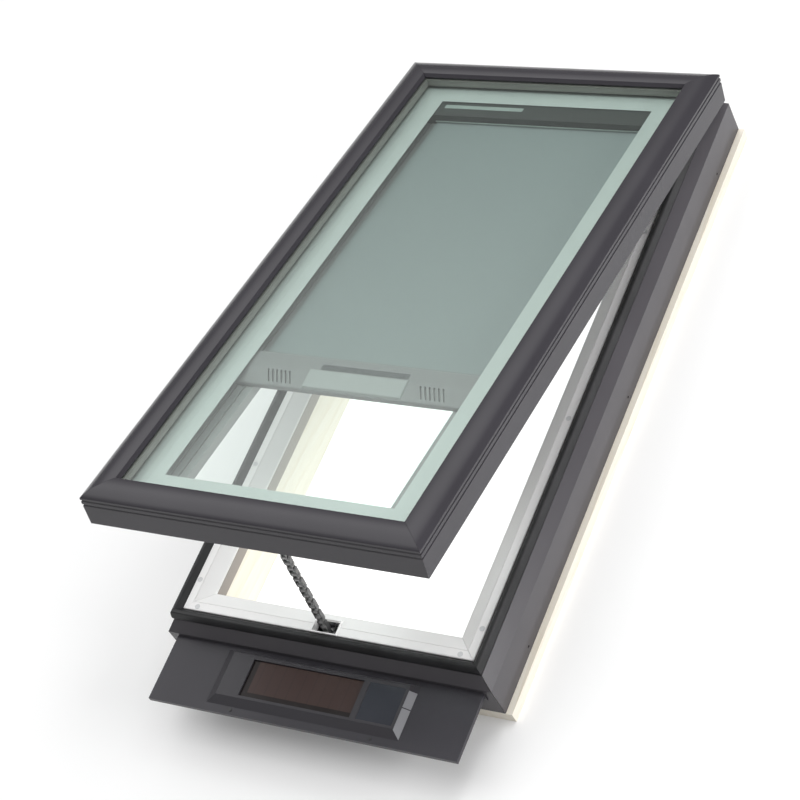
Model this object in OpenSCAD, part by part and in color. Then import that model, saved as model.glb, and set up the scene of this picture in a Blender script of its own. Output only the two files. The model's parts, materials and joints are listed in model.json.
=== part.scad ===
// Curb-mounted venting roof skylight: a pine base with an aluminium skirt, a top-hinged
// glazed sash pushed open by a chain, a roller blind under the glass, and a solar apron.
// X runs across the skylight, Y up the roof towards the hinges, Z away from the roof.
// The origin is the centre of the light opening, on the underside of the pine base.

/* [Base frame] */
// Outside width over the aluminium skirt
frame_w = 660; // [540:1:900]
// Outside length over the aluminium skirt, along the roof slope
frame_l = 1293; // [1060:1:1600]
// Height of the skirt's shoulder above the underside
shoulder_z = 97; // [90:1:130]
// Height of the skirt's upright face
skirt_h = 73; // [50:1:80]
// Sheet thickness of the skirt
skirt_t = 2; // [1.2:0.1:3]
// Thickness of the outer pine boards
board_t = 38.5; // [30:0.5:46]
// Thickness of the inner pine lining
lining_t = 38; // [36:0.5:46]
// How far the side boards stand out below the skirt
lip_out = 12; // [4:1:20]
// Distance of the outer screw holes from the ends of the base
hole_end_in = 124; // [60:0.5:240]
// Radius of the screw holes in the skirt
hole_r = 2.6; // [2:0.1:3.5]

/* [Sash] */
// How far the sash stands out past each side of the base
sash_over = 2.5; // [0:0.5:4]
// How much longer the sash is than the base
sash_longer = 1; // [0:0.5:4]
// Height of the sash's outer face, up to the crease of its crown
face_h = 58.8; // [57:0.1:72]
// Sheet thickness of the cladding
clad_t = 2; // [1.2:0.1:2.4]
// Opening angle of the sash
open_angle = 13.47; // [4:0.01:18]
// Thickness of the outer pane
outer_pane_t = 4; // [3:0.5:6]
// Gap between the two panes
pane_gap = 14; // [10:1:16]
// Thickness of the inner laminated pane
inner_pane_t = 7; // [5:0.5:9]

/* [Chain drive] */
// Width of the opening in the ledge that the chain passes through
slot_w = 48; // [36:1:70]
// Length of the actuator case
case_w = 392; // [300:1:460]
// Pitch of the chain's links
link_pitch = 15; // [12:0.5:20]
// Pitch radius of the sprocket
sprocket_r = 9.5; // [8:0.5:11]

/* [Roller blind] */
// Free length of cloth between the cassette and the bar
blind_drop = 715; // [100:1:900]
// Depth of the blind's bar along the slope
bar_d = 80; // [60:1:100]
// Width of each side rail
rail_w = 50; // [42:1:56]
// Radius of the cloth wound on its roller
roll_r = 13; // [11:0.5:13]

/* [Solar apron] */
// How far the apron reaches in front of the base
apron_reach = 129; // [110:1:180]
// How far the apron's ends stand in from the sides of the base
apron_end_in = 17; // [0:1:50]
// Width of the solar housing's top
solar_w = 360; // [300:1:440]
// Height of the solar housing above the apron
solar_h = 7.5; // [5:0.5:12]

/* [Hidden] */
$fn = 48;
big = 4000;
slack = 0.3;
run_fit = 0.06;
mitre_gap = 0.35;

// Base section: insets are measured inwards from the skirt's outer face
skirt_z = shoulder_z - skirt_h;
band_in = 16;
band_up = 22;
band_len = norm([band_in, band_up]);
flange_z = shoulder_z + band_up;
flange_in = 33.6;
board_in = skirt_t + 0.5;
board_end = board_in + board_t;
lining_end = board_end + lining_t;
board_z = flange_z - skirt_t;
lining_z = board_z - 24;
foot_step = skirt_z - 0.5;
bevel_z = shoulder_z + (board_in * band_up - skirt_t * band_len) / band_in - 0.5;
bevel_in = ((board_z + 0.5 - shoulder_z) * band_in + skirt_t * band_len) / band_up;
rebate = 2.6;
ridge_in = 22;
ridge_z = shoulder_z + 45;
ledge_in = 34;
ledge_z = shoulder_z + 36;
ledge_flat = 15;
groove_w = 2;
groove_d = 1.5;
ledge_nose = 3;
ledge_drop = 12;
hole_up = 13;
hole_deep = 32;
hole_pitch = frame_l / 2 - hole_end_in;

// Sash: the closed sash stands this far above the shoulder and ahead of the base
sash_w = frame_w + 2 * sash_over;
sash_l = frame_l + sash_longer;
sash_z = shoulder_z + 30;
sash_ahead = 7.35;
hinge_in = 45;
hinge_side_in = 110;
hinge_y = frame_l / 2 - hinge_in;
hinge_z = shoulder_z + 44;
hinge_x = frame_w / 2 - hinge_side_in;
rail_under = 24;
rail_in = 64;
glass_in = 12;
tape_t = 2;
crown_in = 49;
crown_z = face_h + 10.2;
lip_in = 54;
glass_top = crown_z - 8;
outer_pane_z = glass_top - outer_pane_t;
inner_pane_top = outer_pane_z - pane_gap;
glass_under = inner_pane_top - inner_pane_t;
rebate_z = glass_under - tape_t;

// Chain drive
pocket_in = 36;
pocket_end = lining_end - 5;
pocket_z = shoulder_z - 37;
pocket_gap = 4;
case_gap = 0.6;
case_t = 2;
lid_t = 2.6;
slot_in = 36.5;
slot_end = 61;
chain_in = 45;
tooth_h = 2;
foot_z = flange_z;
bracket_z = shoulder_z + 40;
chain_y = -frame_l / 2 + chain_in;
sprocket_in = pocket_end - case_gap - case_t - 0.4 - tooth_h - sprocket_r;
sprocket_y = -frame_l / 2 + sprocket_in;
sprocket_z = foot_z - 19;

// Blind: heights are measured up from the sash's lower edge
track_in = 16;
rail_out = sash_w / 2 - rail_in - track_in;
rail_top = 14;
rail_bottom = -3;
cassette_d = 75;
cassette_h = glass_under - 2;
cassette_back = sash_l / 2 - rail_in;
cassette_front = cassette_back - cassette_d;
cassette_half = rail_out + 5.5;
cassette_wall = 2;
roller_y = cassette_front + 42;
roller_z = cassette_h / 2;
cloth_lap = 20;
cloth_half = rail_out - rail_w + cloth_lap;
cloth_z = 16.8;
cloth_t = 0.5;
bar_half = rail_out - 8.5;
bar_back = cassette_front - blind_drop;
bar_z = rail_top + 0.6;
bar_h = 16.4;
bar_t = 1.8;
cap_t = 3;

// Apron
apron_w = frame_w - 2 * apron_end_in;
apron_z = shoulder_z - 9.5;
apron_t = 2;
apron_fold = 8;

WOOD = "#ebe4d2";
WHITE = "#e4e5ea";
ALU = "#6e6d72";
CLAD = "#4a494e";
BLACK = "#1c1c1e";
GREY = "#96908c";
STEEL = "#8d8f92";

// ---- placing ----

function crosswise(side) = side == "front" || side == "back";
function run_of(side, w, l) = crosswise(side) ? w : l;
function turn_of(side) = side == "front" ? 0 : side == "right" ? 90 : side == "back" ? 180 : 270;

// Carries what is drawn along the front edge of a w by l rectangle to one of its sides
module on_side(side, w, l) {
    rotate([0, 0, turn_of(side)])
        translate([0, -run_of(side, l, w) / 2, 0]) children();
}

// A rail along X with its outer face at y = 0 and its ends cut at 45 degrees.
// The outline is a list of [inset, height].
module mitred(outline, run, gap = mitre_gap) {
    difference() {
        translate([-run / 2, 0, 0]) rotate([90, 0, 90]) linear_extrude(run) polygon(outline);
        for (end = [0, 1]) mirror([end, 0, 0])
            translate([run / 2 - gap, 0, 0]) rotate([0, 0, 45])
                translate([0, -big / 2, -big / 2]) cube(big);
    }
}

module frame_rail(side, outline, gap = mitre_gap) {
    on_side(side, frame_w, frame_l) mitred(outline, run_of(side, frame_w, frame_l), gap);
}

// Turns the closed sash's space to its open rest
module opened() {
    translate([0, hinge_y, hinge_z]) rotate([-open_angle, 0, 0])
        translate([0, -hinge_y, -hinge_z]) children();
}

// Sash space: x and y from the sash's middle, z up from its lower edge
module on_sash() {
    opened() translate([0, -sash_ahead, sash_z]) children();
}

module sash_piece(side, outline, gap = mitre_gap) {
    on_sash() on_side(side, sash_w, sash_l) mitred(outline, run_of(side, sash_w, sash_l), gap);
}

// A block given by its lowest and highest corners
module block(low, high) {
    translate(low) cube(high - low);
}

// A rod along X from x0 to x1
module rod(r, x0, x1, y, z) {
    translate([x0, y, z]) rotate([0, 90, 0]) cylinder(r = r, h = x1 - x0);
}

// A flat ring between two insets of a w by l rectangle, from z0 to z1
module flat_ring(w, l, outer, inner, z0, z1) {
    difference() {
        block([outer - w / 2, outer - l / 2, z0], [w / 2 - outer, l / 2 - outer, z1]);
        block([inner - w / 2, inner - l / 2, z0 - 1], [w / 2 - inner, l / 2 - inner, z1 + 1]);
    }
}

// A solid drawn in [y, z] and carried along X between two places
module along_x(x0, x1, outline) {
    translate([x0, 0, 0]) rotate([90, 0, 90]) linear_extrude(x1 - x0) polygon(outline);
}

// ---- pine base ----

// The space in the front boards that the actuator fills
module actuator_pocket() {
    block([-case_w / 2 - pocket_gap, -frame_l / 2 + pocket_in, pocket_z],
          [case_w / 2 + pocket_gap, -frame_l / 2 + pocket_end, board_z + 1]);
}

// The screw holes of one long side, driven inwards from the skirt's face
module side_holes(depth) {
    for (k = [-1:1]) translate([k * hole_pitch, -1, skirt_z + hole_up])
        rotate([-90, 0, 0]) cylinder(r = hole_r, h = depth + 1);
}

// Outline across the boards, with their top edges bevelled to clear the skirt's band
function bevelled(half) = [
    [board_in - half, -1], [half - board_in, -1], [half - board_in, bevel_z],
    [half - bevel_in, board_z], [bevel_in - half, board_z], [board_in - half, bevel_z]];

module under_skirt() {
    intersection() {
        along_x(-frame_w, frame_w, bevelled(frame_l / 2));
        rotate([0, 0, 90]) along_x(-frame_l, frame_l, bevelled(frame_w / 2));
    }
}

module side_board(side) {
    color(WOOD) difference() {
        union() {
            on_side(side, frame_w, frame_l)
                block([-frame_l / 2, -lip_out, 0], [frame_l / 2, board_end, foot_step]);
            intersection() {
                on_side(side, frame_w, frame_l)
                    block([-frame_l / 2, 0, 0], [frame_l / 2, board_end, board_z]);
                under_skirt();
            }
        }
        on_side(side, frame_w, frame_l) side_holes(hole_deep);
    }
}

module end_board(side) {
    half = frame_w / 2 - board_end;
    color(WOOD) difference() {
        union() {
            on_side(side, frame_w, frame_l) block([-half, 0, 0], [half, board_end, foot_step]);
            intersection() {
                on_side(side, frame_w, frame_l) block([-half, 0, 0], [half, board_end, board_z]);
                under_skirt();
            }
        }
        if (side == "front") actuator_pocket();
    }
}

module curb_front() { end_board("front"); }
module curb_back() { end_board("back"); }
module curb_left() { side_board("left"); }
module curb_right() { side_board("right"); }

// Inner lining with a rebate along its top for the screen band
module lining(side) {
    reach = crosswise(side) ? frame_w / 2 - board_end : frame_l / 2 - lining_end;
    color(WOOD) difference() {
        on_side(side, frame_w, frame_l) along_x(-reach, reach, [
            [board_end, 0], [lining_end, 0], [lining_end, lining_z],
            [lining_end - rebate, lining_z], [lining_end - rebate, board_z],
            [board_end, board_z]]);
        if (side == "front") actuator_pocket();
        if (crosswise(side)) for (s = [0, 1]) mirror([s, 0, 0])
            on_side("right", frame_w, frame_l)
                block([-frame_l, lining_end - rebate, lining_z], [frame_l, lining_end, board_z + 1]);
    }
}

module lining_front() { lining("front"); }
module lining_back() { lining("back"); }
module lining_left() { lining("left"); }
module lining_right() { lining("right"); }

// Grey band that closes the step between the lining and the ledge
module screen_band() {
    band_in0 = lining_end - rebate + 0.1;
    color(GREY) flat_ring(frame_w, frame_l, band_in0, lining_end, lining_z, board_z + 1);
}

// ---- white ledge ----

ledge_end = lining_end - 0.5;
ledge_line = ledge_z - ledge_drop;

ledge_outline = [
    [ledge_in, board_z], [ledge_in, ledge_z - 1], [ledge_in + 1, ledge_z],
    [ledge_in + ledge_flat, ledge_z], [ledge_in + ledge_flat, ledge_z - groove_d],
    [ledge_in + ledge_flat + groove_w, ledge_z - groove_d],
    [ledge_in + ledge_flat + groove_w, ledge_z - 0.5],
    [ledge_end - 1, ledge_line + 0.4], [ledge_end, ledge_line - 0.6],
    [ledge_end, ledge_line - ledge_nose], [lining_end - rebate, ledge_line - ledge_nose],
    [lining_end - rebate, board_z]];

plug_r = 5;
plug_h = 2.5;
plug_end_in = 62;
plug_side_in = 95;

// Places of the screw plugs on one ledge, along its flat strip
module plug_places(side) {
    reach = run_of(side, frame_w, frame_l) / 2;
    spots = crosswise(side) ? [-reach + plug_end_in, reach - plug_end_in]
        : [-reach + plug_side_in, -120, 300, reach - plug_side_in];
    on_side(side, frame_w, frame_l)
        for (x = spots) translate([x, ledge_in + ledge_flat / 2, ledge_z - plug_h]) children();
}

module ledge(side) {
    color(WHITE) difference() {
        frame_rail(side, ledge_outline);
        plug_places(side) cylinder(r = plug_r + run_fit, h = plug_h + 1);
        if (side == "front")
            block([-slot_w / 2, -frame_l / 2 + slot_in, board_z - 1],
                  [slot_w / 2, -frame_l / 2 + slot_end, ledge_z + 1]);
    }
}

module ledge_front() { ledge("front"); }
module ledge_back() { ledge("back"); }
module ledge_left() { ledge("left"); }
module ledge_right() { ledge("right"); }

module ledge_plugs() {
    color(WHITE) for (side = ["front", "back", "left", "right"])
        plug_places(side) cylinder(r = plug_r, h = plug_h + 0.4);
}

// ---- aluminium skirt and its gasket ----

// The sheet rises from the skirt's foot, leans in as a band and ends in a flat flange
skirt_outline = [
    [0, skirt_z], [0, shoulder_z], [band_in, flange_z], [flange_in, flange_z],
    [flange_in, board_z],
    [((band_up - skirt_t) * band_in + skirt_t * band_len) / band_up, board_z],
    [skirt_t, shoulder_z + skirt_t * (band_up - band_len) / band_in], [skirt_t, skirt_z]];

module skirt(side) {
    color(ALU) difference() {
        frame_rail(side, skirt_outline);
        if (!crosswise(side)) on_side(side, frame_w, frame_l) side_holes(skirt_t + 1);
    }
}

module skirt_front() { skirt("front"); }
module skirt_back() { skirt("back"); }
module skirt_left() { skirt("left"); }
module skirt_right() { skirt("right"); }

// Upright bulb seal on the flange, with a round ridge
gasket_outline = concat(
    [[band_in + 0.4, flange_z], [band_in - 1, flange_z + 5], [band_in - 1, flange_z + 10]],
    [for (a = [165:-30:15]) [ridge_in + 5 * cos(a), ridge_z - 5 + 5 * sin(a)]],
    [[ridge_in + 7, ledge_z + 1], [ledge_in - 0.3, ledge_z - 1], [ledge_in - 0.3, flange_z]]);

module frame_gasket() {
    color(BLACK) for (side = ["front", "back", "left", "right"])
        frame_rail(side, gasket_outline, 0);
}

// ---- actuator in the front of the base ----

case_half = case_w / 2;
case_y0 = -frame_l / 2 + pocket_in + case_gap;
case_y1 = -frame_l / 2 + pocket_end - case_gap;
case_z0 = pocket_z;
lid_z = board_z - lid_t - 0.1;
case_floor = case_z0 + case_t;

module actuator_case() {
    color(GREY) difference() {
        block([-case_half, case_y0, case_z0], [case_half, case_y1, lid_z]);
        block([case_t - case_half, case_y0 + case_t, case_floor],
              [case_half - case_t, case_y1 - case_t, lid_z + 1]);
    }
}

module actuator_lid() {
    color(GREY) difference() {
        block([-case_half, case_y0, lid_z], [case_half, case_y1, lid_z + lid_t]);
        block([1 - slot_w / 2, -frame_l / 2 + slot_in + 1.4, lid_z - 1],
              [slot_w / 2 - 1, -frame_l / 2 + slot_end - 1, lid_z + lid_t + 1]);
    }
}

shaft_r = 3;

// Gearbox block with the motor's round can beside it
module actuator_motor() {
    color(STEEL) difference() {
        union() {
            block([14, case_y0 + 4, case_floor], [66, case_y1 - case_t - 0.3, lid_z - 4]);
            rod(14, 66, case_half - 10, case_y1 - 19, case_floor + 22);
        }
        rod(shaft_r + run_fit, 13, 40, sprocket_y, sprocket_z);
    }
}

module actuator_battery() {
    color("#2f4a38") for (k = [0:3])
        rod(13, -case_half + 12 + k * 36, -case_half + 47 + k * 36,
            (case_y0 + case_y1) / 2, case_floor + 13);
}

// Grey roller behind the chain, with its axle held in the sides of the slot
module chain_guide() {
    guide_y = -frame_l / 2 + slot_end - 4.6;
    color(GREY) union() {
        rod(2, -slot_w / 2, slot_w / 2, guide_y, ledge_z - 6);
        rod(4, -11, 11, guide_y, ledge_z - 6);
    }
}

// Toothed wheel: round notches cut on the pitch circle, and a shaft into the gearbox
teeth = 8;
notch_r = 2.4;
module drive_sprocket() {
    color(STEEL) union() {
        difference() {
            rod(sprocket_r + tooth_h, -4, 4, sprocket_y, sprocket_z);
            for (k = [0:teeth - 1]) translate([0, sprocket_y, sprocket_z])
                rotate([k * 360 / teeth, 0, 0]) rod(notch_r, -5, 5, 0, sprocket_r + 1.4);
        }
        rod(shaft_r, -9, 34, sprocket_y, sprocket_z);
    }
}

// ---- push chain ----

// Place of the bracket's pivot on the open sash, and the line of the chain to it
lever = [chain_y - hinge_y, bracket_z - hinge_z];
pivot_y = hinge_y + lever[0] * cos(open_angle) + lever[1] * sin(open_angle);
pivot_z = hinge_z - lever[0] * sin(open_angle) + lever[1] * cos(open_angle);
chain_len = norm([pivot_y - chain_y, pivot_z - foot_z]);
chain_lean = atan2(pivot_y - chain_y, pivot_z - foot_z);
links = 2 * round(chain_len / link_pitch / 2);
pitch = chain_len / links;
link_r = 5.2;
pin_r = 2.3;
plate_t = 1.8;
inner_x = 4.2;
outer_x = inner_x + plate_t + slack;
pin_half = outer_x + plate_t + 0.6;

module along_chain() {
    translate([0, chain_y, foot_z]) rotate([-chain_lean, 0, 0]) children();
}

// A round-ended plate from one pin to the next, with a narrow waist
module link_plate(x, z) {
    for (k = [0, 1]) rod(link_r, x, x + plate_t, 0, z + k * pitch);
    block([x, -link_r + 1.1, z], [x + plate_t, link_r - 1.1, z + pitch]);
}

module chain_bore(k) {
    rod(pin_r + run_fit, -outer_x - plate_t - 1, outer_x + plate_t + 1, 0, k * pitch);
}

// Inner links: two plates joined by a bush at each end, bored for the pins
module chain_inner_links() {
    color(STEEL) along_chain() for (k = [0:2:links - 1]) difference() {
        union() {
            for (s = [0, 1]) mirror([s, 0, 0]) link_plate(inner_x, k * pitch);
            for (m = [0, 1]) rod(link_r - 1, -inner_x - 1, inner_x + 1, 0, (k + m) * pitch);
        }
        for (m = [0, 1]) chain_bore(k + m);
    }
}

// Outer links: two plates with the pins riveted in them; the last eye takes the bracket's pin
module chain_outer_links() {
    color("#5c5e60") along_chain() {
        rod(pin_r, -outer_x, outer_x, 0, 0);
        for (k = [1:2:links - 1]) difference() {
            union() {
                for (s = [0, 1]) mirror([s, 0, 0]) link_plate(outer_x, k * pitch);
                for (m = [0, 1]) if (k + m < links)
                    rod(pin_r, -pin_half, pin_half, 0, (k + m) * pitch);
            }
            if (k + 1 == links) chain_bore(links);
        }
    }
}

// Bracket under the front sash rail; its pin takes the chain's last link
ear_x = outer_x + plate_t + 1.2;
module chain_bracket() {
    ear_t = 2.5;
    color(STEEL) opened() union() {
        block([-22, chain_y - 14, sash_z + rail_under - 2.5],
              [22, chain_y + 11, sash_z + rail_under]);
        for (s = [0, 1]) mirror([s, 0, 0]) {
            block([ear_x, chain_y - 6, bracket_z], [ear_x + ear_t, chain_y + 6, sash_z + rail_under]);
            rod(6, ear_x, ear_x + ear_t, chain_y, bracket_z);
        }
        rod(pin_r, -ear_x - ear_t - 1, ear_x + ear_t + 1, chain_y, bracket_z);
    }
}

// ---- hinges ----

knuckle_r = 6;
hinge_pin_r = 3;
knuckle_half = 10.7;
hinge_half = 30;
leaf_t = 1.6;

module each_hinge() {
    for (s = [-1, 1]) translate([s * hinge_x, 0, 0]) children();
}

module hinge_frame_leaves() {
    color(STEEL) each_hinge() difference() {
        union() {
            block([-hinge_half, frame_l / 2 - ledge_in - ledge_flat + 0.5, ledge_z],
                  [hinge_half, frame_l / 2 - ledge_in - 1, ledge_z + leaf_t]);
            for (x = [-hinge_half, knuckle_half + slack]) {
                rod(knuckle_r, x, x + hinge_half - knuckle_half - slack, hinge_y, hinge_z);
                block([x, hinge_y - 3, ledge_z],
                      [x + hinge_half - knuckle_half - slack, hinge_y + 3, hinge_z]);
            }
        }
        rod(hinge_pin_r, -hinge_half - 1, hinge_half + 1, hinge_y, hinge_z);
    }
}

module hinge_pins() {
    color(STEEL) each_hinge() union() {
        rod(hinge_pin_r, -hinge_half, hinge_half + 1, hinge_y, hinge_z);
        rod(hinge_pin_r + 1.5, -hinge_half - 2, -hinge_half, hinge_y, hinge_z);
    }
}

module hinge_sash_leaves() {
    leaf_z = sash_z + rail_under;
    color(STEEL) opened() each_hinge() difference() {
        union() {
            block([-hinge_half, hinge_y - 24, leaf_z - leaf_t], [hinge_half, hinge_y + 8, leaf_z]);
            rod(knuckle_r, -knuckle_half, knuckle_half, hinge_y, hinge_z);
            block([-knuckle_half, hinge_y - 4, hinge_z], [knuckle_half, hinge_y + 4, leaf_z]);
        }
        rod(hinge_pin_r + run_fit, -hinge_half - 1, hinge_half + 1, hinge_y, hinge_z);
    }
}

// ---- solar apron ----

apron_back = -frame_l / 2;
apron_front = apron_back - apron_reach;
solar_top = apron_z + solar_h;
solar_slope = 16;
solar_y1 = apron_back - 13;
solar_y0 = apron_front + 31;
sensor_w = 71;
sensor_x = solar_w / 2 - 5 - sensor_w;
window_end_in = 45;
window_gap = 12;
window = [[window_end_in - solar_w / 2, sensor_x - window_gap], [solar_y0 + 5, solar_y1 - 8]];
sensor = [[sensor_x, sensor_x + sensor_w], window[1]];
window_d = 5;
sensor_d = 2;
pane_fit = 0.2;
screw_x = 142;
screw_in = 9;
screw_r = 1.5;

// The places of the two screws, on the apron's top
module at_apron_screws() {
    for (x = [-screw_x, screw_x]) translate([x, apron_front + screw_in, apron_z]) children();
}

// Folded sheet with turned-down edges, screwed to the skirt by its rear upstand
module solar_apron() {
    color(ALU) difference() {
        union() {
            block([-apron_w / 2, apron_front, apron_z - apron_fold],
                  [apron_w / 2, apron_back, apron_z]);
            block([-apron_w / 2, apron_back - apron_t, apron_z - 20],
                  [apron_w / 2, apron_back, apron_z]);
        }
        block([apron_t - apron_w / 2, apron_front + apron_t, apron_z - apron_fold - 1],
              [apron_w / 2 - apron_t, apron_back - apron_t, apron_z - apron_t]);
        at_apron_screws() translate([0, 0, -4]) cylinder(r = screw_r + 0.1, h = 5);
    }
}

// Raised cover with sloping ends and front
module solar_housing() {
    half = solar_w / 2;
    color(CLAD) difference() {
        intersection() {
            translate([0, solar_y1 + 4, 0]) rotate([90, 0, 0]) linear_extrude(apron_reach)
                polygon([[-half - solar_slope, apron_z], [half + solar_slope, apron_z],
                         [half, solar_top], [-half, solar_top]]);
            along_x(-apron_w / 2, apron_w / 2, [
                [solar_y0 - solar_slope, apron_z], [solar_y1 + 4, apron_z],
                [solar_y1, solar_top], [solar_y0, solar_top]]);
        }
        block([window[0][0], window[1][0], solar_top - window_d],
              [window[0][1], window[1][1], solar_top + 1]);
        block([sensor[0][0], sensor[1][0], solar_top - sensor_d],
              [sensor[0][1], sensor[1][1], solar_top + 1]);
    }
}

module solar_panel() {
    color("#3c3030")
        block([window[0][0] + pane_fit, window[1][0] + pane_fit, solar_top - window_d],
              [window[0][1] - pane_fit, window[1][1] - pane_fit, solar_top - window_d + 1.6]);
}

module sensor_pane() {
    color("#37373a")
        block([sensor[0][0] + pane_fit, sensor[1][0] + pane_fit, solar_top - sensor_d],
              [sensor[0][1] - pane_fit, sensor[1][1] - pane_fit, solar_top - slack]);
}

module apron_screws() {
    color(BLACK) at_apron_screws() union() {
        cylinder(r = 2 * screw_r, h = 1.2);
        translate([0, 0, -3.5]) cylinder(r = screw_r, h = 4);
    }
}

// ---- sash cladding and rails ----

// A point of a quadratic curve from a to c that is drawn towards b
function bend(a, b, c, t) = (1 - t) * (1 - t) * a + 2 * t * (1 - t) * b + t * t * c;

bead_low = 41;
bead_d = 1.5;

// Face with two fine grooves, a crowned top, and a lip that drops to the glass
clad_outer = concat(
    [[0, 0], [0, bead_low], [bead_d, bead_low + 1], [bead_d, bead_low + 3], [0, bead_low + 4],
     [0, face_h - 8], [bead_d, face_h - 7], [bead_d, face_h - 5], [0, face_h - 4]],
    [for (k = [0:10]) bend([0, face_h], [16, face_h + 14.7], [crown_in, crown_z], k / 10)],
    [[lip_in, glass_top + 1.6], [lip_in, glass_top + 0.6]]);
clad_inner = concat(
    [[lip_in - clad_t, glass_top + 0.6]],
    [for (k = [10:-1:0]) bend([clad_t + bead_d, face_h - 1], [17, face_h + 12.2],
                              [crown_in - 1, crown_z - clad_t], k / 10)],
    [[clad_t + bead_d, bead_low - 1], [clad_t, bead_low - 2], [clad_t, 0]]);

module cladding(side) {
    color(CLAD) sash_piece(side, concat(clad_outer, clad_inner));
}

module cladding_front() { cladding("front"); }
module cladding_back() { cladding("back"); }
module cladding_left() { cladding("left"); }
module cladding_right() { cladding("right"); }

rail_face = clad_t + bead_d + 0.3;
sash_rail_outline = [
    [rail_face, rail_under], [rail_face, glass_top - 5], [glass_in - 2, glass_top - 5],
    [glass_in - 2, rebate_z], [rail_in, rebate_z], [rail_in, rail_under]];

module sash_rail(side) {
    color(WHITE) sash_piece(side, sash_rail_outline);
}

module sash_rail_front() { sash_rail("front"); }
module sash_rail_back() { sash_rail("back"); }
module sash_rail_left() { sash_rail("left"); }
module sash_rail_right() { sash_rail("right"); }

// ---- glazing ----

module pane(z0, z1) {
    on_sash() block([glass_in - sash_w / 2, glass_in - sash_l / 2, z0],
                    [sash_w / 2 - glass_in, sash_l / 2 - glass_in, z1]);
}

module outer_pane() { color("#9fc4b6", 0.35) pane(outer_pane_z, glass_top); }
module inner_pane() { color("#9fc4b6", 0.35) pane(glass_under, inner_pane_top); }

module pane_spacer() {
    color(STEEL) on_sash()
        flat_ring(sash_w, sash_l, glass_in + 3, glass_in + 12, inner_pane_top, outer_pane_z);
}

module glazing_tape() {
    color(BLACK) on_sash()
        flat_ring(sash_w, sash_l, glass_in + 2, glass_in + 22, rebate_z, glass_under);
}

// Soft strip that closes the lip of the cladding against the glass
module glazing_seal() {
    color(BLACK) on_sash()
        flat_ring(sash_w, sash_l, lip_in - clad_t - 2, lip_in - 0.2, glass_top, glass_top + 0.6);
}

// Soft strip under the sash, over the gasket's ridge; it stops short of the hinges
module sash_seal() {
    seal_half = 3.5;
    side_x = frame_w / 2 - ridge_in;
    front_y = -frame_l / 2 + ridge_in;
    z0 = ridge_z + 0.6;
    z1 = sash_z + rail_under;
    color(BLACK) opened() union() {
        block([-side_x - seal_half, front_y - seal_half, z0],
              [side_x + seal_half, front_y + seal_half, z1]);
        for (s = [-1, 1])
            block([s * side_x - seal_half, front_y, z0],
                  [s * side_x + seal_half, hinge_y - 30, z1]);
    }
}

// ---- roller blind ----

module blind_cassette() {
    color("#525856") on_sash() difference() {
        block([-cassette_half, cassette_front, 0], [cassette_half, cassette_back, cassette_h]);
        block([-cassette_half - 1, cassette_front + cassette_wall, cassette_wall],
              [cassette_half + 1, cassette_back - cassette_wall, cassette_h - cassette_wall]);
        block([-cloth_half - 4, cassette_front - 1, cloth_z - 1.5],
              [cloth_half + 4, cassette_front + cassette_wall + 1, cloth_z + 2]);
    }
}

axle_r = 4;

// End caps; the right one carries the roller's axle
module cassette_caps() {
    color("#3f4442") on_sash() for (s = [-1, 1]) difference() {
        translate([s * (cassette_half + 2), (cassette_front + cassette_back) / 2, cassette_h / 2])
            cube([4, cassette_d, cassette_h], center = true);
        if (s > 0) rod(axle_r + run_fit, cassette_half - 1, cassette_half + 5, roller_y, roller_z);
    }
}

motor_r = 8;
roll_half = cloth_half + 2;

// Tubular motor fixed to the left cap, inside the roller
module blind_motor() {
    color(STEEL) on_sash() rod(motor_r, -cassette_half, -70, roller_y, roller_z);
}

// Roller tube with the cloth wound on it; it turns on the motor and on its own axle
module blind_roller() {
    color("#8ea09e") on_sash() difference() {
        union() {
            rod(roll_r, -roll_half, roll_half, roller_y, roller_z);
            rod(axle_r, roll_half, cassette_half + 3, roller_y, roller_z);
        }
        rod(motor_r + run_fit, -roll_half - 1, -66, roller_y, roller_z);
    }
}

rail_front = lining_end + sash_ahead + 1.5 - frame_l / 2;
rail_wall = 2;
shoe_in = 14;
track_w = 4;
track_d = 3;

// Side rail: a flange under the sash rail, an upright, and a grooved track
module blind_rails() {
    floor_z = rail_top - track_d;
    outline = [
        [-24, 20], [-24, rail_under], [4, rail_under], [4, rail_top],
        [shoe_in, rail_top], [shoe_in, floor_z], [shoe_in + track_w, floor_z],
        [shoe_in + track_w, rail_top], [rail_w - 19, rail_top], [rail_w - 19, floor_z],
        [rail_w - 15, floor_z], [rail_w - 15, rail_top], [rail_w, rail_top],
        [rail_w, rail_bottom], [0, rail_bottom], [0, 20]];
    hollow = [[rail_wall, rail_bottom + rail_wall], [rail_wall, floor_z - rail_wall],
              [rail_w - rail_wall, floor_z - rail_wall],
              [rail_w - rail_wall, rail_bottom + rail_wall]];
    color("#c9ccce") on_sash() for (s = [0, 1]) mirror([s, 0, 0])
        translate([rail_out, cassette_front - 1, 0]) rotate([90, 0, 0])
            linear_extrude(cassette_front - 1 - rail_front) mirror([1, 0]) difference() {
                polygon(outline);
                polygon(hollow);
            }
}

// Cloth from the roll, down to the slot and flat along to the bar
module blind_cloth() {
    color("#8ca09e") on_sash() along_x(-cloth_half, cloth_half, [
        [bar_back, cloth_z], [cassette_front + 5, cloth_z],
        [roller_y - 5, roller_z + roll_r - 0.4], [roller_y - 5, roller_z + roll_r + 0.1],
        [cassette_front + 4.8, cloth_z + cloth_t], [bar_back, cloth_z + cloth_t]]);
}

bar_front = bar_back - bar_d;
bar_top = bar_z + bar_h;
block_half = 100;
block_h = 2.6;
block_back = bar_back - 36;
groove_half = 88;
vent_x = 155;
vent_pitch = 9;

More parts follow.
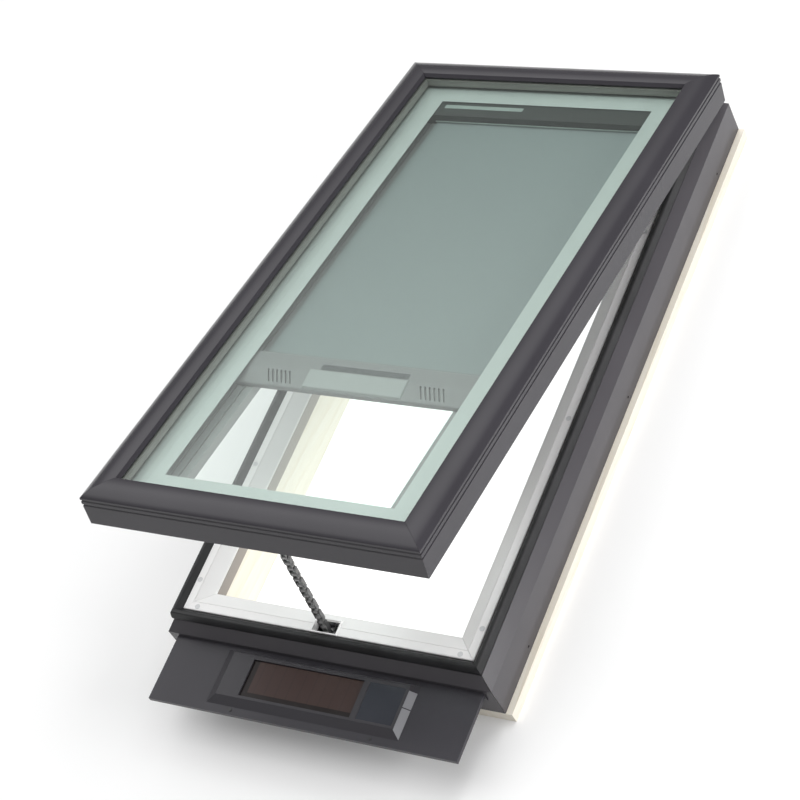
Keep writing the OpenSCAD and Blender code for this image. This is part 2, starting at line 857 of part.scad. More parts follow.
// Section of the bar, drawn in by a wall where it is hollow
function bar_outline(wall) = [
    [bar_front + wall, bar_z + wall], [bar_front + wall, bar_top - 9],
    [bar_front + 5 + wall, bar_top - 3 - wall / 2], [bar_front + 15, bar_top - wall],
    [bar_back - 4 - wall / 2, bar_top - wall], [bar_back - wall, bar_top - 4 - wall / 2],
    [bar_back - wall, bar_z + wall]];

// Hollow bar with a raised middle, a finger groove behind it and a grille at each side
module blind_bar() {
    half = bar_half - cap_t;
    color("#a2a9a8") on_sash() difference() {
        union() {
            along_x(-half, half, bar_outline(0));
            along_x(-block_half, block_half, [
                [bar_front + 4, bar_top - 4], [bar_front + 8, bar_top + block_h],
                [block_back - 2, bar_top + block_h], [block_back, bar_top - 4]]);
        }
        along_x(-half - 1, half + 1, bar_outline(bar_t));
        block([-groove_half, bar_back - 24, bar_top - 1], [groove_half, bar_back - 13, bar_top + 1]);
        for (s = [-1, 1], k = [-2.5:1:2.5])
            block([s * vent_x + k * vent_pitch - 1.5, bar_front + 10, bar_top - 5],
                  [s * vent_x + k * vent_pitch + 1.5, block_back - 10, bar_top + 4]);
    }
}

module bar_caps() {
    color("#8b9190") on_sash() for (s = [0, 1]) mirror([s, 0, 0])
        along_x(bar_half - cap_t, bar_half, bar_outline(0));
}

// Sliding shoes under the bar, one in the outer groove of each rail
module bar_shoes() {
    color(BLACK) on_sash() for (s = [0, 1]) mirror([s, 0, 0])
        block([rail_out - shoe_in - track_w + slack, bar_front + 6, rail_top - track_d + slack],
              [rail_out - shoe_in - slack, bar_back - 6, bar_z]);
}

cell_r = 5.6;

module bar_battery() {
    color("#2f4a38") on_sash() for (k = [-2:2])
        rod(cell_r, k * 62 - 28, k * 62 + 28, bar_back - 25, bar_z + bar_t + cell_r);
}

curb_front();
curb_back();
curb_left();
curb_right();
lining_front();
lining_back();
lining_left();
lining_right();
ledge_front();
ledge_back();
ledge_left();
ledge_right();
skirt_front();
skirt_back();
skirt_left();
skirt_right();
frame_gasket();
screen_band();
ledge_plugs();
actuator_case();
actuator_lid();
actuator_motor();
actuator_battery();
chain_guide();
drive_sprocket();
chain_outer_links();
chain_inner_links();
hinge_frame_leaves();
hinge_pins();
hinge_sash_leaves();
solar_apron();
solar_housing();
solar_panel();
sensor_pane();
apron_screws();
cladding_front();
cladding_back();
cladding_left();
cladding_right();
sash_rail_front();
sash_rail_back();
sash_rail_left();
sash_rail_right();
outer_pane();
inner_pane();
pane_spacer();
glazing_tape();
glazing_seal();
sash_seal();
chain_bracket();
blind_cassette();
cassette_caps();
blind_motor();
blind_roller();
blind_rails();
blind_cloth();
blind_bar();
bar_caps();
bar_shoes();
bar_battery();
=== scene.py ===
import json
import math
import bmesh
import bpy
import numpy as np
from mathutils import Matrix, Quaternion, Vector


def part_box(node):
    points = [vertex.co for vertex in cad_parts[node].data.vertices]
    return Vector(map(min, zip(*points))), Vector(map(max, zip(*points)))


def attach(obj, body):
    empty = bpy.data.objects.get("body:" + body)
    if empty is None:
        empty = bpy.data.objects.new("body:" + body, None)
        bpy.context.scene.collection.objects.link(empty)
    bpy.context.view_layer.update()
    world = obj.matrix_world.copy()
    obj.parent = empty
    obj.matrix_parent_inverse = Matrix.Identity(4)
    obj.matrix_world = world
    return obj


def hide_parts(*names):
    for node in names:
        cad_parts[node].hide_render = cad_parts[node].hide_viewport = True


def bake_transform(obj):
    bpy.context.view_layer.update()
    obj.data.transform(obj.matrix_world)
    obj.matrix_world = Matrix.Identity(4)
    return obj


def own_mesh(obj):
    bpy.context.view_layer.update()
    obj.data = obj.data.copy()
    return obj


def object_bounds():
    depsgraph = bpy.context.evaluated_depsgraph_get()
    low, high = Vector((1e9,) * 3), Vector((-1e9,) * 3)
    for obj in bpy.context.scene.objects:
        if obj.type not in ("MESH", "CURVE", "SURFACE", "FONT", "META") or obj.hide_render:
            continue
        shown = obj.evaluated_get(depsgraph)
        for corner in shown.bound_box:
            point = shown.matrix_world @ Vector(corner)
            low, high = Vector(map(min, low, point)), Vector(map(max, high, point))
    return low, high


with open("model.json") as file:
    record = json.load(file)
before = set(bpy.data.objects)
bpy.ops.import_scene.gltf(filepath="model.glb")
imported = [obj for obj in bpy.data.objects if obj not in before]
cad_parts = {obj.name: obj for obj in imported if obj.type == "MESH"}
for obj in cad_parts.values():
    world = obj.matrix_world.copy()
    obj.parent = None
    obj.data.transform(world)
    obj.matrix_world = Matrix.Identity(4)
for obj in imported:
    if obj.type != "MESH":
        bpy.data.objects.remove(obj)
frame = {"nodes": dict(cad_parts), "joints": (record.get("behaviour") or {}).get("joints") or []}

cad_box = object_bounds()
cad = frame["nodes"]
mm = 0.001

# ---- Camera, floor and studio light ----
# The skylight lies flat on a pale floor and is seen from above its front right corner by a
# leaning camera. The room is bright overhead and dim at eye level, with soft panels above, at
# the front and on both sides, and a glowing sheet lies on the floor inside the well.

camera = bpy.data.objects.new("camera", bpy.data.cameras.new("camera"))
camera.data.lens = 108.1
camera.data.sensor_width = 36
camera.location = (2.1466, -2.1265, 3.3482)
looking_at = Vector((-0.0351, -0.1417, 0.1607))
camera_lean = math.radians(-31.93)
camera.rotation_mode = "QUATERNION"
level = (looking_at - camera.location).to_track_quat("-Z", "Y")
camera.rotation_quaternion = level @ Quaternion((0, 0, 1), camera_lean)
bpy.context.scene.collection.objects.link(camera)
bpy.context.scene.camera = camera
bpy.context.scene.view_settings.view_transform = "Standard"


def shader(name, colour, **sockets):
    """A material with one Principled shader: its colour and each named socket, set on the shader."""
    made = bpy.data.materials.new(name)
    made.use_nodes = True
    principled = made.node_tree.nodes["Principled BSDF"]
    principled.inputs["Base Color"].default_value = (*colour, 1)
    for socket, value in sockets.items():
        principled.inputs[socket.replace("_", " ")].default_value = value
    return made, made.node_tree, principled


def add(tree, kind, inputs=(), **settings):
    """One node of that kind, with its settings and the values of its inputs."""
    made = tree.nodes.new("ShaderNode" + kind)
    for key, value in settings.items():
        setattr(made, key, value)
    for key, value in dict(inputs).items():
        made.inputs[key].default_value = value
    return made


def soft_panel(name, place, aim, width, height, power):
    """A rectangular lamp at a place, turned to face the aim."""
    lamp = bpy.data.lights.new(name, "AREA")
    lamp.shape = "RECTANGLE"
    lamp.size, lamp.size_y, lamp.energy = width, height, power
    panel = bpy.data.objects.new(name, lamp)
    panel.location = place
    panel.rotation_mode = "QUATERNION"
    panel.rotation_quaternion = (Vector(aim) - panel.location).to_track_quat("-Z", "Y")
    bpy.context.scene.collection.objects.link(panel)
    return panel


room = bpy.data.worlds.new("room")
room.use_nodes = True
room_tree = room.node_tree
direction = add(room_tree, "TexCoord")
brightest_way = (-0.35, 0.35, 0.87)
overhead = add(room_tree, "VectorMath", {1: brightest_way}, operation="DOT_PRODUCT")
brightness = add(room_tree, "MapRange", {"From Min": 0.74, "From Max": 0.89,
                                         "To Min": 0.25, "To Max": 1.9})
room_tree.links.new(direction.outputs["Generated"], overhead.inputs[0])
room_tree.links.new(overhead.outputs["Value"], brightness.inputs["Value"])
room_tree.links.new(brightness.outputs["Result"], room_tree.nodes["Background"].inputs["Strength"])
room_tree.nodes["Background"].inputs["Color"].default_value = (1, 1, 1, 1)
bpy.context.scene.world = room
top_panel = soft_panel("top_panel", (0.9, 1.0, 2.7), (0, 0, 0.2), 1.5, 1.5, 30)
top_panel.visible_glossy = False
soft_panel("front_panel", (0.9, -3.0, 1.5), (0.1, -0.5, 0.1), 2.2, 1.0, 4)
soft_panel("right_panel", (3.0, -0.2, 1.2), (0.2, 0.1, 0.1), 2.0, 1.0, 58)
soft_panel("left_panel", (-2.6, -0.4, 1.6), (-0.2, -0.1, 0.1), 2.0, 1.2, 16)

floor_half = 12
floor_mesh = bpy.data.meshes.new("floor")
floor_corners = floor_half * np.array([[-1, -1], [1, -1], [1, 1], [-1, 1]], float)
floor_points = np.column_stack([floor_corners, np.full(4, cad_box[0].z)])
floor_mesh.from_pydata(floor_points.tolist(), [], [(0, 1, 2, 3)])
floor = bpy.data.objects.new("floor", floor_mesh)
bpy.context.scene.collection.objects.link(floor)
pale_floor, _, _ = shader("pale_floor", (0.82, 0.82, 0.82), Roughness=0.9,
                          Emission_Color=(1, 1, 1, 1), Emission_Strength=0.12)
floor_mesh.materials.append(pale_floor)

well_low, well_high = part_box("screen_band")
sheet_mesh = bpy.data.meshes.new("light_sheet")
sheet_z = 1 * mm
sheet_points = [(well_low.x, well_low.y, sheet_z), (well_high.x, well_low.y, sheet_z),
                (well_high.x, well_high.y, sheet_z), (well_low.x, well_high.y, sheet_z)]
sheet_mesh.from_pydata(sheet_points, [], [(0, 1, 2, 3)])
light_sheet = bpy.data.objects.new("light_sheet", sheet_mesh)
bpy.context.scene.collection.objects.link(light_sheet)
glowing, _, _ = shader("glowing_sheet", (0.5, 0.5, 0.5), Emission_Color=(1, 1, 1, 1),
                       Emission_Strength=1.0)
sheet_mesh.materials.append(glowing)

# ---- Pine base ----
# Four outer boards and four lining boards of clear lacquered pine, screwed together into the
# well that stands on the roof. The grain runs along each board, so the end boards and the
# side boards take the same figure turned a quarter.


def paint(tree, principled, ramp_from, stops):
    """Drives the base colour from a value through a ramp of (place, colour) stops."""
    ramp = add(tree, "ValToRGB")
    elements = ramp.color_ramp.elements
    while len(elements) < len(stops):
        elements.new(0.5)
    for element, (place, colour) in zip(elements, stops):
        element.position = place
        element.color = (*colour, 1)
    tree.links.new(ramp_from, ramp.inputs["Fac"])
    tree.links.new(ramp.outputs["Color"], principled.inputs["Base Color"])


def emboss(tree, principled, height, strength, depth):
    """Bumps the surface by a height value, depth in metres from its lowest to its highest."""
    bump = add(tree, "Bump", {"Strength": strength, "Distance": depth})
    tree.links.new(height, bump.inputs["Height"])
    tree.links.new(bump.outputs["Normal"], principled.inputs["Normal"])


def placed(tree, scale=(1, 1, 1)):
    """Object coordinates, each axis multiplied by its own scale for a pattern."""
    place = add(tree, "TexCoord")
    mapping = add(tree, "Mapping", {"Scale": scale})
    tree.links.new(place.outputs["Object"], mapping.inputs["Vector"])
    return mapping.outputs["Vector"]


def pattern(tree, kind, vector, inputs, output="Fac", **settings):
    """A texture node read at a vector; gives its output."""
    texture = add(tree, kind, inputs, **settings)
    tree.links.new(vector, texture.inputs["Vector"])
    return texture.outputs[output]


def pine(name, scale):
    """Pine: a warped saw wave for the growth rings and a fine noise for the fibres, mixed 28 to 72
    and turned into three tones. The scale is small along the board and large across it."""
    made, tree, principled = shader(name, (0.8, 0.7, 0.5), Roughness=0.45, Coat_Weight=0.25)
    principled.inputs["Coat Roughness"].default_value = 0.35
    where = placed(tree, scale)
    rings = pattern(tree, "TexWave", where,
                    {"Scale": 1.1, "Distortion": 6.0, "Detail": 3.0, "Detail Scale": 0.6},
                    wave_type="BANDS", bands_direction="DIAGONAL", wave_profile="SAW")
    fibre = pattern(tree, "TexNoise", where, {"Scale": 9.0, "Detail": 6.0, "Roughness": 0.6})
    blend = add(tree, "Mix", {"Factor": 0.72})
    tree.links.new(rings, blend.inputs["A"])
    tree.links.new(fibre, blend.inputs["B"])
    paint(tree, principled, blend.outputs["Result"],
          [(0.1, (0.74, 0.66, 0.53)), (0.45, (0.83, 0.775, 0.67)), (0.85, (0.87, 0.83, 0.75))])
    emboss(tree, principled, fibre, 0.25, 0.15 * mm)
    return made


def clad(material, *nodes):
    """Gives the CAD nodes one material."""
    for name in nodes:
        cad[name].data.materials.clear()
        cad[name].data.materials.append(material)


grain_along, grain_across = 1.6, 22
pine_across = pine("pine_along_x", (grain_along, grain_across, grain_across))
pine_along = pine("pine_along_y", (grain_across, grain_along, grain_across))
clad(pine_across, "curb_front", "curb_back", "lining_front", "lining_back")
clad(pine_along, "curb_left", "curb_right", "lining_left", "lining_right")

# ---- Aluminium skirt ----
# Four strips of folded aluminium sheet round the pine, mitred at the corners and screwed
# through holes in the long sides. The powder coat is a mid grey with a fine orange peel, and
# a near-black disc of painted shade lies behind each hole to darken it.


def powder_coat(name, colour, roughness, peel, shine=0.5):
    """Powder coat: a fine even bump, and a colour that drifts by 6 percent over a hand's width."""
    made, tree, principled = shader(name, colour, Roughness=roughness, Specular_IOR_Level=shine)
    drift = pattern(tree, "TexNoise", placed(tree), {"Scale": 7.0, "Detail": 2.0})
    darker, lighter = (tuple(part * share for part in colour) for share in (0.94, 1.06))
    paint(tree, principled, drift, [(0.3, darker), (0.7, lighter)])
    grain = pattern(tree, "TexNoise", placed(tree), {"Scale": 1400.0, "Detail": 1.0})
    emboss(tree, principled, grain, peel, 0.06 * mm)
    return made


skirt_grey = powder_coat("skirt_coat", (0.070, 0.0655, 0.073), 0.26, 0.15, 0.4)
clad(skirt_grey, "skirt_front", "skirt_back", "skirt_left", "skirt_right")


def made_piece(name, points, faces, material, sharp=30):
    """A mesh object from an array of points and a list of faces: its normals are turned outwards,
    it is shaded smooth, and edges over the sharp angle in degrees stay crisp."""
    mesh = bpy.data.meshes.new(name)
    mesh.from_pydata(np.asarray(points).tolist(), [], faces)
    shell = bmesh.new()
    shell.from_mesh(mesh)
    bmesh.ops.recalc_face_normals(shell, faces=shell.faces)
    shell.to_mesh(mesh)
    shell.free()
    mesh.polygons.foreach_set("use_smooth", np.ones(len(mesh.polygons), bool))
    mesh.set_sharp_from_angle(angle=math.radians(sharp))
    mesh.materials.append(material)
    piece = bpy.data.objects.new(name, mesh)
    bpy.context.scene.collection.objects.link(piece)
    return piece


def carried(stations, ring=False):
    """Faces of a closed outline carried through stations, an array of stations by outline points
    by 3: each cell between two stations and two points is a quad. The ends are closed by the
    outline itself, unless the stations make a ring."""
    count, across = stations.shape[:2]
    steps = count if ring else count - 1
    station, point = np.meshgrid(np.arange(steps), np.arange(across), indexing="ij")
    after, beside = (station + 1) % count, (point + 1) % across
    quads = np.stack([station * across + point, station * across + beside,
                      after * across + beside, after * across + point], -1).reshape(-1, 4)
    faces = quads.tolist()
    if not ring:
        faces += [list(range(across)), list(range((count - 1) * across, count * across))]
    return stations.reshape(-1, 3), faces


def gathered(parts):
    """One list of points and faces from several."""
    points, faces, count = [], [], 0
    for some_points, some_faces in parts:
        points.append(some_points)
        faces += [[corner + count for corner in face] for face in some_faces]
        count += len(some_points)
    return np.concatenate(points), faces


def arc(centre, radius, start, end, steps):
    """Points of an arc about a centre, between two angles in degrees."""
    angle = np.radians(np.linspace(start, end, steps))
    return np.stack([centre[0] + radius * np.cos(angle), centre[1] + radius * np.sin(angle)], -1)


skirt_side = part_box("skirt_right")[1].x
hole_height = 37 * mm
hole_pitch = 522.5 * mm
disc_r = 5 * mm
disc_points = 20
disc_depths = (2.05 * mm, 2.45 * mm)
# Painted shade: each skirt hole is darkened by a near-black disc behind it.
hole_shade, hole_shade_tree, hole_shade_shader = shader("hole_shade", (0.006, 0.006, 0.006), Roughness=0.9)
hole_shade_grain = pattern(hole_shade_tree, "TexNoise", placed(hole_shade_tree), {"Scale": 900.0})
emboss(hole_shade_tree, hole_shade_shader, hole_shade_grain, 0.5, 0.1 * mm)


def hole_shade_disc(side, k):
    """A disc of painted shade behind one hole of the skirt: the same circle at two depths along X.
    """
    rim = arc((k * hole_pitch, hole_height), disc_r, 0, 360 - 360 / disc_points, disc_points)
    return np.stack([np.column_stack([np.full(disc_points, side * (skirt_side - depth)), rim])
                     for depth in disc_depths])


for side, sign in (("right", 1), ("left", -1)):
    discs = [carried(hole_shade_disc(sign, k)) for k in (-1, 0, 1)]
    hole_shade_piece = made_piece(f"hole_shades_{side}", *gathered(discs), hole_shade)
    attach(hole_shade_piece, "frame")

# ---- Frame gasket ----
# One ring of black extruded rubber pressed on the skirt's flange, with a round bulb on top
# that the sash lands on. It is carried round the frame as one closed section.


def rectangle_corner(k, inset, low, high):
    """The k-th corner of a rectangle drawn in by insets: front left first, then anticlockwise."""
    x = np.where(k % 4 in (0, 3), low[0] + inset, high[0] - inset)
    y = np.where(k % 4 in (0, 1), low[1] + inset, high[1] - inset)
    return np.stack([x, y], -1)


def rubber(name, colour=(0.012, 0.012, 0.013), roughness=0.55):
    """Extruded rubber: near black, with a dull bloom that comes and goes along it."""
    made, tree, principled = shader(name, colour, Roughness=roughness, Specular_IOR_Level=0.4)
    where = placed(tree)
    bloom = pattern(tree, "TexNoise", where, {"Scale": 14.0, "Detail": 4.0})
    paint(tree, principled, bloom, [(0.35, colour), (0.75, tuple(2.2 * part for part in colour))])
    skin = pattern(tree, "TexNoise", where, {"Scale": 320.0, "Detail": 2.0})
    emboss(tree, principled, skin, 0.3, 0.12 * mm)
    return made


black_rubber = rubber("black_rubber")
gasket_low, gasket_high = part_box("frame_gasket")
gasket_w = 18.7 * mm
gasket_h = gasket_high.z - gasket_low.z
bulb_r = 5 * mm
bulb_in = 7 * mm
shoulder_h = gasket_h - 10 * mm
gasket_foot = np.array([[gasket_w - 0.4 * mm, shoulder_h], [gasket_w, 0], [1.4 * mm, 0]])
gasket_side = np.array([[0, 5 * mm], [0.2 * mm, 9 * mm]])
gasket_bulb = arc((bulb_in, gasket_h - bulb_r), bulb_r, 170, 10, 15)
gasket_outline = np.concatenate([gasket_foot, gasket_side, gasket_bulb])
gasket_stations = np.stack([
    np.column_stack([rectangle_corner(k, gasket_outline[:, 0], gasket_low, gasket_high),
                     gasket_low.z + gasket_outline[:, 1]]) for k in range(4)])
gasket = made_piece("gasket_ring", *carried(gasket_stations, ring=True), black_rubber, sharp=50)
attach(gasket, "frame")
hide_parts("frame_gasket")

# ---- White ledge and the grey band under it ----
# Four white extruded profiles, mitred at the corners, screwed down on the pine and closed with
# small round plugs. Under their inner edge a warm grey band fills the gap for the insect screen;
# its colour is painted shade of that gap.


def moulded(name, colour, roughness, scale=420.0, relief=0.2, **sockets):
    """Moulded or extruded plastic: one even colour under a fine, shallow skin texture."""
    made, tree, principled = shader(name, colour, Roughness=roughness, **sockets)
    where = placed(tree)
    cast = pattern(tree, "TexNoise", where, {"Scale": 5.0, "Detail": 2.0})
    paint(tree, principled, cast, [(0.3, tuple(0.965 * part for part in colour)), (0.7, colour)])
    skin = pattern(tree, "TexNoise", where, {"Scale": scale, "Detail": 2.0})
    emboss(tree, principled, skin, relief, 0.05 * mm)
    return made


white_profile = moulded("white_profile", (0.90, 0.885, 0.885), 0.38)
clad(white_profile, "ledge_front", "ledge_back", "ledge_left", "ledge_right")
clad(moulded("plug_white", (0.66, 0.66, 0.67), 0.5), "ledge_plugs")
# Painted shade: the band's warm grey stands for the shade in the gap under the ledge's inner edge.
band_shade = moulded("screen_band_shade", (0.33, 0.30, 0.275), 0.6, scale=900.0, relief=0.6)
clad(band_shade, "screen_band")

frame_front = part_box("skirt_front")[0].y
slot_half = 24 * mm
slot_in = (36.5 * mm, 61 * mm)
rim_wide = 3.2 * mm
rim_rise = 1.2 * mm
rim_ease = (0.4 * mm, 0.8 * mm)
ledge_top = 133 * mm


def slot_corners(grow):
    """The corners of the chain's slot in the front ledge, moved outwards by grow."""
    half = slot_half + grow
    front, back = frame_front + slot_in[0] - grow, frame_front + slot_in[1] + grow
    return [(-half, front), (half, front), (half, back), (-half, back)]


rim_profile = [(0, -rim_rise), (0, 0.7 * rim_rise), (rim_ease[0], rim_rise),
               (rim_wide - rim_ease[1], rim_rise), (rim_wide, 0), (rim_wide, -rim_rise)]
rim_rings = np.array([[(*corner, ledge_top + rise) for corner in slot_corners(grow)]
                      for grow, rise in rim_profile])
slot_rim = made_piece("slot_rim", *carried(rim_rings.transpose(1, 0, 2), ring=True),
                      white_profile, sharp=40)
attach(slot_rim, "frame")

# ---- Chain actuator ----
# A black moulded case with its lid lies in a pocket of the front boards. In it a steel gear
# motor turns a sprocket, and a row of green sleeved cells stores what the solar cells give.


def zinc(name, colour, roughness):
    """Zinc-plated steel: a soft spangle of cells, dark and smooth in their middles."""
    made, tree, principled = shader(name, colour, Metallic=1.0, Roughness=roughness)
    where = placed(tree)
    spangle = pattern(tree, "TexVoronoi", where, {"Scale": 240.0}, output="Distance")
    paint(tree, principled, spangle, [(0.0, tuple(0.8 * part for part in colour)), (0.8, colour)])
    rough = add(tree, "MapRange", {"To Min": roughness - 0.08, "To Max": roughness + 0.12})
    tree.links.new(spangle, rough.inputs["Value"])
    tree.links.new(rough.outputs["Result"], principled.inputs["Roughness"])
    return made


black_plastic = moulded("black_plastic", (0.022, 0.022, 0.024), 0.5)
bright_zinc = zinc("bright_zinc", (0.56, 0.57, 0.58), 0.36)
cell_sleeve = moulded("cell_sleeve", (0.02, 0.065, 0.035), 0.3, relief=0.1)
clad(black_plastic, "actuator_case", "actuator_lid")
clad(bright_zinc, "actuator_motor", "drive_sprocket")
clad(cell_sleeve, "actuator_battery", "bar_battery")
clad(black_plastic, "chain_guide")

# ---- Solar apron ----
# A folded aluminium sheet that covers the front of the skirt, in the dark grey of the sash.
# On it a raised plastic cover holds a strip of red-brown solar cells in a deep window, a
# smoked pane over the light sensor, and two small black screws.

apron_grey = powder_coat("apron_coat", (0.0365, 0.0345, 0.0415), 0.3, 0.15, 0.25)
housing_grey = moulded("housing_grey", (0.042, 0.040, 0.046), 0.32, scale=700.0, relief=0.25,
                       Specular_IOR_Level=0.25)
clad(apron_grey, "solar_apron")
clad(housing_grey, "solar_housing")
clad(black_plastic, "apron_screws")

wave_repeat = 0.314
cell_pitch = 22 * mm
cell_red, scribe_red = (0.043, 0.024, 0.021, 1), (0.036, 0.021, 0.019, 1)
# Painted shade: the cells are a darker red near the left and front walls of their window.
shaded_red = (0.008, 0.0045, 0.0045, 1)
shaded_edges = (("X", 12 * mm), ("Y", 9 * mm))
shade_ease = 1.5 * mm


def solar_cells(name, pitch):
    """Thin-film cells: red-brown strips side by side, parted by fine scribes at the low points of a
    wave along X. Painted shade darkens the cells near the left and front walls of their window."""
    made, tree, principled = shader(name, (0.05, 0.02, 0.015), Roughness=0.3,
                                    Specular_IOR_Level=0.25)
    where = placed(tree)
    scribe = pattern(tree, "TexWave", where, {"Scale": wave_repeat / pitch},
                     wave_type="BANDS", bands_direction="X", wave_profile="SIN")
    ramp = add(tree, "ValToRGB")
    low, high = ramp.color_ramp.elements
    low.color, high.color = scribe_red, cell_red
    high.position = 0.08
    tree.links.new(scribe, ramp.inputs["Fac"])
    axes = add(tree, "SeparateXYZ")
    tree.links.new(where, axes.inputs["Vector"])
    panel_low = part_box("solar_panel")[0]
    both = add(tree, "Math", operation="MULTIPLY")
    for k, (axis, width) in enumerate(shaded_edges):
        edge = panel_low[k] + width
        mask = add(tree, "MapRange", {"From Min": edge, "From Max": edge + shade_ease})
        tree.links.new(axes.outputs[axis], mask.inputs["Value"])
        tree.links.new(mask.outputs["Result"], both.inputs[k])
    shade = add(tree, "Mix", {"A": shaded_red}, data_type="RGBA")
    tree.links.new(both.outputs["Value"], shade.inputs["Factor"])
    tree.links.new(ramp.outputs["Color"], shade.inputs["B"])
    tree.links.new(shade.outputs["Result"], principled.inputs["Base Color"])
    return made


clad(solar_cells("solar_cells", cell_pitch), "solar_panel")
smoked_pane = moulded("smoked_pane", (0.030, 0.033, 0.043), 0.2, relief=0.03,
                      Specular_IOR_Level=0.3)
clad(smoked_pane, "sensor_pane")

housing_low, housing_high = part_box("solar_housing")
housing_length = housing_high.y - housing_low.y
bevel_wide = 16 * mm
trim_rise = 0.5 * mm
trim_in = (1.2 * mm, 14.8 * mm)
trim_slope = (housing_high.z - housing_low.z) / bevel_wide
trim_split = 0.55 * housing_length
trim_gap = 1 * mm
satin_trim = moulded("satin_trim", (0.34, 0.34, 0.36), 0.3, scale=900.0, relief=0.1, Metallic=0.6)


def bevel_strip(start, end, mitred):
    """A thin strip on the housing's right bevel between two distances from its front: its section
    has two points on the bevel and the same two lifted, and a mitred start is cut at 45 degrees."""
    x = housing_high.x - np.array(trim_in)
    z = housing_low.z + np.array(trim_in) * trim_slope
    section = np.array([[x[0], z[0]], [x[1], z[1]],
                        [x[1], z[1] + trim_rise], [x[0], z[0] + trim_rise]])
    start_y = housing_low.y + start - mitred * (section[:, 0] - x[1])
    end_y = np.full(4, housing_low.y + end)
    return carried(np.stack([np.column_stack([section[:, 0], y, section[:, 1]])
                             for y in (start_y, end_y)]))


for name, start, end, mitred in (
        ("front_trim", trim_in[1], trim_split - trim_gap, 1),
        ("back_trim", trim_split + trim_gap, housing_length - trim_in[1], 0)):
    strip = made_piece("housing_" + name, *bevel_strip(start, end, mitred), satin_trim)
    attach(strip, "frame")

# ---- Hinges ----
# Two zinc-plated butt hinges at the back: leaves on the ledge, leaves under the sash, and a
# headed pin through each.

clad(bright_zinc, "hinge_frame_leaves", "hinge_pins", "hinge_sash_leaves", "chain_bracket")

# ---- Sash cladding ----
# Four lengths of extruded aluminium with a crowned top, cut at 45 degrees and butted at the
# corners. Two fine grooves run along the outer face. Each length is its section, carried along
# one side of the closed sash and then swung open about the hinges.

hinge = next(joint for joint in frame["joints"] if joint["name"] == "sash_hinge")
hinge_line = np.array(hinge["pos_m"])
opening = math.radians(hinge["range_deg"][1])


def swung(points, angle):
    """Points turned about the hinge line, which lies along X, by an angle."""
    y, z = points[..., 1] - hinge_line[1], points[..., 2] - hinge_line[2]
    return np.stack([points[..., 0], hinge_line[1] + y * math.cos(angle) - z * math.sin(angle),
                     hinge_line[2] + y * math.sin(angle) + z * math.cos(angle)], -1)


def closed_box(*names):
    """Lowest and highest corners of CAD nodes of the sash, turned back to the closed sash."""
    points = []
    for name in names:
        vertices = cad[name].data.vertices
        flat = np.empty(3 * len(vertices), np.float32)
        vertices.foreach_get("co", flat)
        points.append(swung(flat.reshape(-1, 3).astype(float), opening))
    points = np.concatenate(points)
    return points.min(0), points.max(0)


def curve(start, pull, end, steps):
    """A curve from start to end that is drawn towards pull: at a share t of the way their weights
    are (1-t) squared, t squared and, for the pull, twice t(1-t)."""
    t = np.linspace(0, 1, steps)[:, None]
    return (1 - t) ** 2 * np.array(start) + 2 * t * (1 - t) * np.array(pull) + t ** 2 * np.array(end)


sash_low, sash_high = closed_box("cladding_front", "cladding_back",
                                 "cladding_left", "cladding_right")
sheet = 2 * mm
groove = 1.5 * mm
groove_bottoms = (41 * mm, 50.8 * mm)
face_top = 58.8 * mm
crown = np.array([49.0, 69.0]) * mm
crown_pull = np.array([16.0, 73.5]) * mm
under_pull = np.array([17.0, 71.0]) * mm
lip = np.array([54.0, 62.6]) * mm
lip_t = 1 * mm
inner_wall = sheet + groove
step_top, step_bottom = 40 * mm, 39 * mm
mitre_gap = 0.1 * mm
rail_stations = 9


def grooved_face(low):
    """The four corners of one groove in the outer face, from its lower edge up."""
    return np.array([[0, low], [groove, low + 1 * mm], [groove, low + 3 * mm], [0, low + 4 * mm]])


cladding_outline = np.concatenate([
    [[0, 0]], grooved_face(groove_bottoms[0]), grooved_face(groove_bottoms[1]),
    curve((0, face_top), crown_pull, crown, 22),
    [lip, lip - [0, lip_t], lip - [sheet, lip_t]],
    curve(crown - [1 * mm, sheet], under_pull, (inner_wall, face_top - 1 * mm), 14),
    [[inner_wall, step_top], [sheet, step_bottom], [sheet, 0]]])


def sash_rail(k, outline, gap):
    """The outline carried along side k of the closed sash, with mitred ends, and swung open."""
    heights = sash_low[2] + outline[:, 1]
    start = rectangle_corner(k, outline[:, 0], sash_low, sash_high)
    end = rectangle_corner(k + 1, outline[:, 0], sash_low, sash_high)
    along = (end - start) / np.linalg.norm(end - start, axis=1)[:, None]
    share = np.linspace(0, 1, rail_stations)[:, None, None]
    flat = (start + along * gap) * (1 - share) + (end - along * gap) * share
    raised = np.broadcast_to(heights[None, :, None], flat.shape[:2] + (1,))
    return swung(np.concatenate([flat, raised], -1), -opening)


def eased(piece, width, segments=2):
    """Rounds the piece's sharp edges."""
    bevel = piece.modifiers.new("eased_edges", "BEVEL")
    bevel.width = width
    bevel.segments = segments
    bevel.limit_method = "ANGLE"
    bevel.angle_limit = math.radians(35)
    bevel.harden_normals = True
    return piece


sash_grey = powder_coat("sash_coat", (0.0385, 0.0360, 0.0425), 0.2, 0.1, 0.35)
for k, side in enumerate(("front", "right", "back", "left")):
    rail = made_piece(f"crowned_{side}", *carried(sash_rail(k, cladding_outline, mitre_gap)),
                      sash_grey)
    eased(rail, 0.3 * mm)
    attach(rail, "sash")
    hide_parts(f"cladding_{side}")

clad(white_profile, "sash_rail_front", "sash_rail_back", "sash_rail_left", "sash_rail_right")
clad(black_rubber, "glazing_tape", "glazing_seal", "sash_seal")

# ---- Glazing ----
# Two panes with a metal spacer between them. The glass is clear with a faint green tint, and
# the inner pane has a printed border of pale green enamel that hides the edge of the sash.


